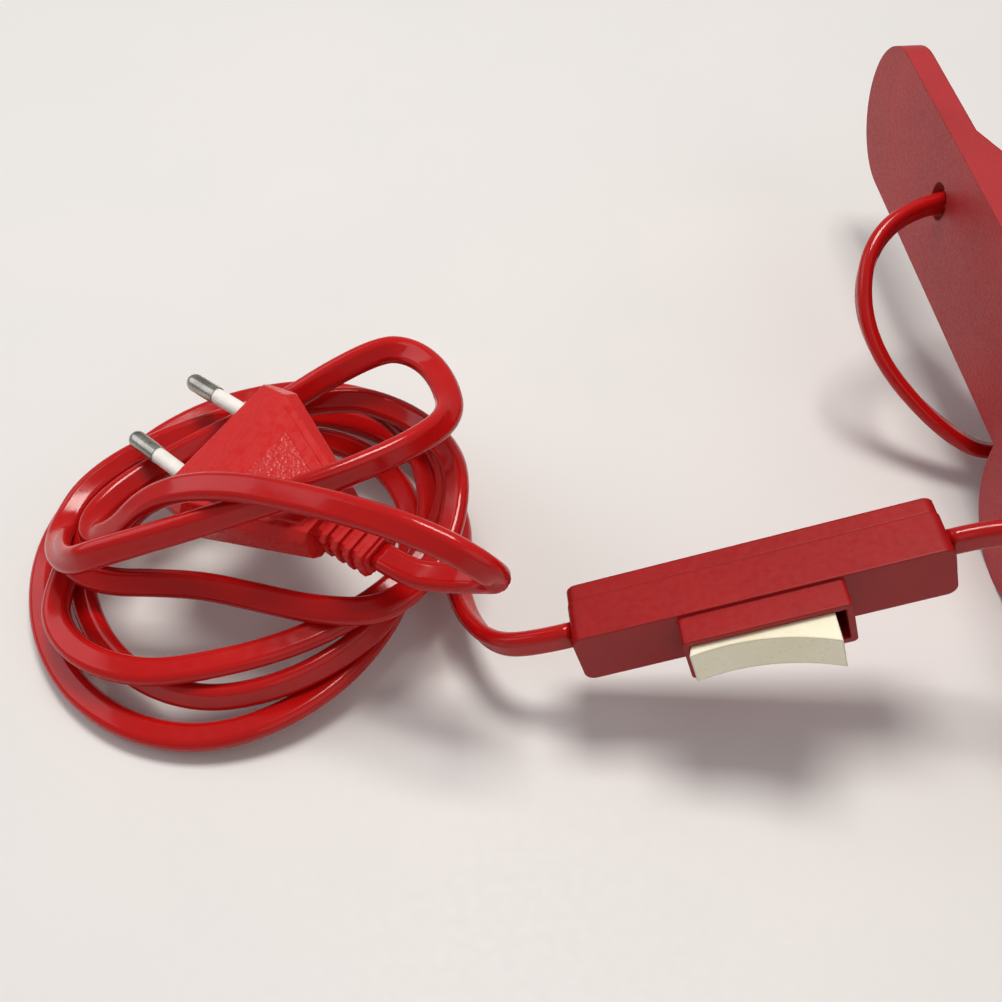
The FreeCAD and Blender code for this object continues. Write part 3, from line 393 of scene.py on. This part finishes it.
# ---- the lead from the lamp to the switch -----------------------------------------------------
SWITCH_AT = Vector((-153.3, -52.8, 32.0))
SWITCH_LONG = Vector((0.958, 0.019, 0.286)).normalized()
SWITCH_WIDE = Vector((0.003, -0.998, 0.057)).cross(SWITCH_LONG).normalized()
HALF_SWITCH = 36.0
SWITCH_RUN = 9.0
SWITCH_END = SWITCH_AT + SWITCH_LONG * HALF_SWITCH
SWITCH_START = SWITCH_AT - SWITCH_LONG * HALF_SWITCH

LAMP_ROUTE = [
    (-68.0, 9.5, 20.15), (-68.4, 9.0, 14.6), (-71.2, 6.4, 9.8), (-77.0, 2.6, 7.4), (-84.6, 0.9, 8.4),
    (-92.6, 4.6, 11.8), (-100.5, 11.0, 16.6), (-107.5, 18.4, 23.4), (-111.6, 26.4, 31.4),
    (-110.4, 35.0, 38.6), (-104.6, 42.7, 43.0), (-95.5, 47.6, 44.9), (-85.0, 49.6, 45.3),
    (-75.0, 51.6, 46.9), (-66.8, 52.2, 53.0), (-63.6, 47.8, 61.8), (-65.8, 39.0, 69.0),
    (-72.0, 26.0, 76.0), (-78.8, 8.0, 84.0), (-83.0, -14.0, 91.0), (-84.2, -36.0, 92.8),
    (-84.2, -53.0, 86.5), (-85.5, -62.5, 74.0), (-89.5, -64.0, 60.5), (-94.5, -60.5, 51.8),
    (-102.5, -55.0, 47.6), SWITCH_END + SWITCH_LONG * SWITCH_RUN, SWITCH_END,
]


BROAD_FACE = Vector((-0.05, -0.62, 0.78)).normalized()       # how the loose turns lean
FOOT_WIDE = Vector((0.35, 0.94, 0))                          # the lead's width in the stem's foot


def leaning_widths(points, lean, sway):
    """The broad face leans the same way all along, swaying by sway degrees as the lead twists."""
    widths = []
    last = len(points) - 1
    for i in range(len(points)):
        ahead = (points[min(i + 1, last)] - points[max(i - 1, 0)]).normalized()
        side = ahead.cross(BROAD_FACE)
        if side.length < 0.25:
            side = widths[-1]
        side = (side - ahead * side.dot(ahead)).normalized()
        share = i / last
        waver = math.sin(2 * math.pi * 4.3 * share) + 0.6 * math.sin(2 * math.pi * 10.7 * share)
        angle = math.radians(lean + sway * waver)
        widths.append(side * math.cos(angle) + ahead.cross(side) * math.sin(angle))
    return widths


def settle(widths, near_end, wide):
    """Turn the width onto the end fitting's own, over the points near that end."""
    inner = widths[near_end[-1]]
    wide = wide if wide.dot(inner) > 0 else -wide
    for k, i in enumerate(near_end):
        widths[i] = wide.lerp(inner, eased(k / (len(near_end) - 1)))


def make_lamp_lead():
    points = spline_points(LAMP_ROUTE, SPLINE_STEPS)
    widths = leaning_widths(points, 72, 8)
    count = len(widths)
    settle(widths, range(14), FOOT_WIDE)
    settle(widths, range(count - 1, count - 40, -1), SWITCH_WIDE)
    name = "flat_lead_lamp_side"
    lead = piece(name, sweep(name, points, widths, lead_section()), "root", "red_lead")
    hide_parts("lead_lamp_to_switch")


# ---- the lead from the switch, through the coil, to the plug -----------------------------------
COIL_ROUTE = [
    SWITCH_START, SWITCH_START - SWITCH_LONG * SWITCH_RUN, (-203.5, -50.0, 14.6), (-208.2, -41.5, 11.3),
    (-210.3, -31.5, 9.2), (-210.6, -22.5, 8.2),
]
# Where each turn crosses the coil's right, back, left and front: x, y, z, and how high the lead
# humps on its way there.
RIGHT, BACK, LEFT, FRONT = range(4)
CROSSINGS = [
    (RIGHT, -208.5, -12, 4, 0), (BACK, -250, 30, 4, 0), (LEFT, -302.5, -14, 4, 0), (FRONT, -262, -62, 4, 0),
    (RIGHT, -219, -14, 9, 1), (BACK, -248, 17, 9, 0), (LEFT, -293, -12, 9, 0), (FRONT, -258, -56, 9, 0),
    (RIGHT, -214.5, -12, 16, 0), (BACK, -240, 25, 15, 0), (LEFT, -295, -30, 12, 0), (FRONT, -268, -52, 14, 0),
    (RIGHT, -210, -12, 21, 0), (BACK, -246, 21, 20, 0), (LEFT, -291, -23, 17, 0), (FRONT, -274, -32, 18, 0),
    (FRONT, -228, -45, 21, 0), (RIGHT, -209, -16, 28, 0), (BACK, -233, 12, 26, -3), (LEFT, -294, -16, 18, 0),
    (FRONT, -281, -36, 33, 0), (RIGHT, -209.5, -11, 42, 7), (BACK, -224, 14, 38, 0),
]
STEPS = 4
PLUG_ROUTE = [
    (-235, 11.5, 34), (-247, 8, 28), (-261, 3.5, 24.5), (-273, -2.5, 22.5), (-282, -10, 22),
    (-286.5, -18, 22.5), (-284.5, -25, 24.5), (-278, -27.5, 30), (-271.5, -27, 37.5),
    (-263, -29, 43.5), (-252, -32.5, 47),
    (-240, -37.5, 48.5), (-228, -43.5, 50), (-217, -49.5, 50.5), (-209, -54, 49), (-204, -55.5, 45),
    (-203, -52.5, 39.5), (-207.5, -49, 35.5), (-213.5, -47.5, 34.2),
]
PLUG_AT = Vector((-259.2, -7.1, 31.8))
PLUG_PINS = Vector((-0.712, 0.701, -0.042)).normalized()
PLUG_WIDE = Vector((-0.2, -0.145, 0.969)).cross(PLUG_PINS).normalized()
PLUG_FACE = PLUG_PINS.cross(PLUG_WIDE)
PLUG_TAIL = 48.0
TAIL_RUN = 7.0                # straight lead behind the strain relief


def coil_turns():
    """Quarter ellipses from one crossing to the next, so that each loose turn has its own size."""
    turns = []
    for (where, x0, y0, z0, _), (then, x1, y1, z1, hump) in zip(CROSSINGS, CROSSINGS[1:]):
        for step in range(STEPS):
            t = step / STEPS
            rise, fall = math.sin(math.pi / 2 * t), math.cos(math.pi / 2 * t)
            if where == then:
                x, y = x0 + (x1 - x0) * t, y0 + (y1 - y0) * eased(t)
            elif where in (RIGHT, LEFT):
                x, y = x1 + (x0 - x1) * fall, y0 + (y1 - y0) * rise
            else:
                x, y = x0 + (x1 - x0) * rise, y1 + (y0 - y1) * fall
            turns.append((x, y, z0 + (z1 - z0) * t + hump * 4 * t * (1 - t)))
    turns.append(CROSSINGS[-1][1:4])
    return turns


def make_plug_lead():
    tail = PLUG_AT - PLUG_PINS * PLUG_TAIL
    route = COIL_ROUTE + coil_turns() + PLUG_ROUTE + [tail - PLUG_PINS * TAIL_RUN, tail]
    points = spline_points(route, SPLINE_STEPS)
    widths = leaning_widths(points, 0, 24)
    count = len(widths)
    settle(widths, range(36), SWITCH_WIDE)
    settle(widths, range(count - 1, count - 25, -1), PLUG_WIDE)
    name = "flat_lead_plug_side"
    lead = piece(name, sweep(name, points, widths, lead_section()), "root", "red_lead")
    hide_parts("lead_switch_to_coil", "lead_coil")


# ---- torsion spring, wound wire with one leg in each clamp half ---------------------------------
PIVOT = Vector((-68.0, 9.5, 42.0))
WIRE_R = 1.1
COIL_R = 7.5
LEG_R = 7.75
LEG_END = (17.85, 41.5)
LEG_HIGH = 9.45
HALF_GAP = 0.2                # between the two halves' turns
TURN_GAP = 0.05
TURN_POINTS = 24


def spring_half(name, side, turned, body):
    """The leg runs in along the handle and winds on towards the middle; side is -1 fixed, +1 moving."""
    end = Vector((side * LEG_END[0], LEG_END[1], 0))
    angle = math.atan2(end.y, end.x) - side * math.acos(LEG_R / end.length)
    start = Vector((math.cos(angle), math.sin(angle), 0)) * LEG_R
    lift = Vector((0, 0, side * LEG_HIGH))
    points = [end.lerp(start, k / 6) + lift for k in range(6)]
    wound_high = LEG_HIGH - HALF_GAP - WIRE_R
    turns = wound_high / (2 * WIRE_R + TURN_GAP)
    steps = round(turns * TURN_POINTS)
    for k in range(steps + 1):
        a = angle - side * 2 * math.pi * turns * k / steps
        r = LEG_R + (COIL_R - LEG_R) * min(1.0, 4 * k / TURN_POINTS)
        high = side * (LEG_HIGH - wound_high * k / steps)
        points.append(Vector((r * math.cos(a), r * math.sin(a), high)))
    spin = Matrix.Rotation(turned, 3, "Z")
    points = [(PIVOT + spin @ p) * MM for p in points]
    wire = [(WIRE_R * math.cos(math.pi * k / 6), WIRE_R * math.sin(math.pi * k / 6)) for k in range(12)]
    mesh = sweep(name, points, [Vector((0, 0, 1))] * len(points), wire)
    wound = piece(name, mesh, body, "spring_steel")
    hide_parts("spring_fixed_end" if side < 0 else "spring_moving_end")


# ---- plug: gripping panel and strain relief ribs -----------------------------------------------
PLUG_LONG = 35.0
PLUG_RIDGE = 9.0              # where the face starts to slope down to the pins
RIDGE_HIGH = 6.85             # half the plug's thickness, at the ridge and at the tail
TAIL_HIGH = 4.75
PANEL_SUNK = 0.3
PANEL_DRAW = 0.4
RIB_LONG = 1.5
RIB_PITCH = 3.0


def at_plug(x, y, z):
    return (PLUG_AT + PLUG_PINS * x + PLUG_WIDE * y + PLUG_FACE * z) * MM


def solid_between(name, near, far):
    """A closed mesh between two rings of the same number of points."""
    bm = bmesh.new()
    rings = [[bm.verts.new(at) for at in ring] for ring in (near, far)]
    count = len(near)
    for k in range(count):
        bm.faces.new((rings[0][k], rings[0][(k + 1) % count], rings[1][(k + 1) % count], rings[1][k]))
    bm.faces.new(list(reversed(rings[0])))
    bm.faces.new(rings[1])
    bmesh.ops.recalc_face_normals(bm, faces=bm.faces)
    mesh = bpy.data.meshes.new(name)
    bm.to_mesh(mesh)
    bm.free()
    return mesh


def plug_panel(name, x0, half0, x1, half1, rise, side, material):
    """A raised trapezoid on the sloping face; side is +1 above and -1 below."""
    def ring(lift, draw):
        out = []
        slope = (RIDGE_HIGH - TAIL_HIGH) / (PLUG_LONG - PLUG_RIDGE)
        for x, y in ((x0 - draw, half0 - draw), (x1 + draw, half1 - draw)):
            high = RIDGE_HIGH + (PLUG_RIDGE + x) * slope + lift
            out += [(x, y, high), (x, -y, high)]
        out = [out[0], out[1], out[3], out[2]]
        return [at_plug(x, y, side * z) for x, y, z in out]
    mesh = solid_between(name, ring(-PANEL_SUNK, 0.0), ring(rise, PANEL_DRAW))
    mesh.materials.append(material)
    piece(name, mesh, "root", "red_plug", smooth=False)


def relief_rib(name, x, wide, thick):
    """One rounded rib round the strain relief."""
    def ring(along):
        c = 0.35 * thick
        corners = [(-wide, -thick + c), (-wide + c, -thick), (wide - c, -thick), (wide, -thick + c),
                   (wide, thick - c), (wide - c, thick), (-wide + c, thick), (-wide, thick - c)]
        return [at_plug(along, y, z) for y, z in corners]
    piece(name, solid_between(name, ring(x), ring(x - RIB_LONG)), "root", "red_plug", smooth=False)


def make_plug_details():
    for side, where in ((1, "upper"), (-1, "lower")):
        plug_panel(f"plug_{where}_border", -11.0, 13.2, -33.5, 5.3, 0.45, side, MATERIALS["red_plug"])
        plug_panel(f"plug_{where}_grip", -15.5, 9.0, -31.0, 3.6, 0.85, side, STIPPLE)
    for k in range(4):
        relief_rib(f"plug_relief_rib_{k + 1}", -36.8 - RIB_PITCH * k, 5.2 - 0.16 * k, 3.9 - 0.12 * k)


make_lamp_lead()
make_plug_lead()
make_plug_details()
spring_half("wound_spring_fixed", -1, 0.0, "root")
spring_half("wound_spring_moving", 1, math.radians(-28), "moving_half")


# ---- light and floor --------------------------------------------------------------------------
def table_top():
    """Plain pale board with a faint mottle."""
    material, tree, surface, place = start_material("painted_board_pale", "#DCD9D5", Roughness=0.6, IOR=1.45)
    tint(tree, surface, grain(tree, place, 60), "#DAD9D7", "#DDDBD9")
    rough(tree, surface, grain(tree, place, 2.0), 0.5, 0.62)
    return material


def make_stage():
    bpy.ops.mesh.primitive_plane_add(size=6.0, location=(0, 0, 0))
    floor = bpy.context.object
    floor.name = "floor"
    floor.data.materials.append(table_top())


def area_light(name, at, target, size, power, colour):
    data = bpy.data.lights.new(name, "AREA")
    data.shape = "RECTANGLE"
    data.size, data.size_y = size
    data.energy = power
    data.color = srgb(colour)[:3]
    light = bpy.data.objects.new(name, data)
    light.location = at
    light.rotation_euler = (Vector(target) - Vector(at)).to_track_quat("-Z", "Y").to_euler()
    bpy.context.scene.collection.objects.link(light)


def make_light():
    middle = mm(-190, -20, 30)
    area_light("overhead_soft", middle + mm(40, 260, 1000), middle, (0.42, 0.32), 8.2, "#FFFAF4")
    area_light("window_side", middle + mm(-900, 300, 700), middle, (0.9, 0.7), 3.0, "#F6F7FF")
    area_light("room_fill", middle + mm(500, -900, 800), middle, (1.2, 1.0), 2.0, "#FFFBF8")
    world = bpy.data.worlds.new("room")
    world.use_nodes = True
    sky = world.node_tree.nodes["Background"]
    sky.inputs["Color"].default_value = srgb("#F4F3F2")
    sky.inputs["Strength"].default_value = 0.36
    bpy.context.scene.world = world
    bpy.context.scene.view_settings.view_transform = "Standard"


make_stage()
make_light()
